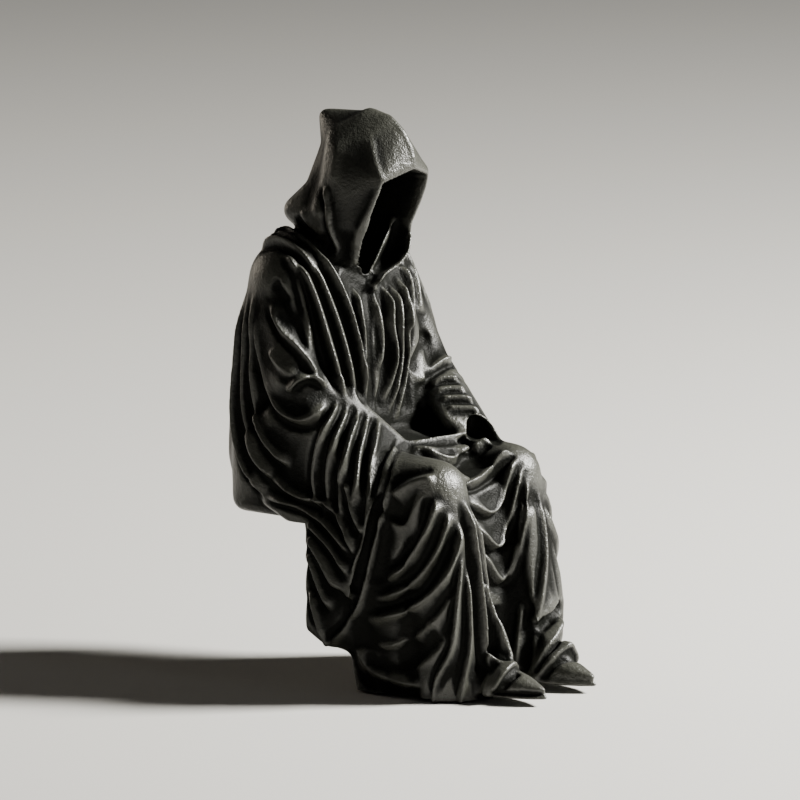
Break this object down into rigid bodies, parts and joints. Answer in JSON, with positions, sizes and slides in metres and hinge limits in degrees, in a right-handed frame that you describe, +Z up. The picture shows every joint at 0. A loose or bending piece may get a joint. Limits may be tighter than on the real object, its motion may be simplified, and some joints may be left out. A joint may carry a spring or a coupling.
{
  "type": "grim reaper bookend figure",
  "caption": "Seated hooded reaper figure cast in one piece, with a flat seat and a flat back to its legs so that it sits over the edge of a ledge.",
  "frame": {"origin": "the middle of the flat seat, on its face, which is the mount that holds the figure", "axes": "+Z up, from the seat to the top of the hood; -Y forward, the way the face and the toes point; +X to the figure's left"},
  "size_m": [0.068, 0.0972, 0.1505],
  "materials": {
    "black_resin": "satin black cast resin with a fine leathery grain and worn, lighter ridges"
  },
  "bodies": {
    "root": {"seated_reaper": "black_resin"}
  },
  "joints": []
}
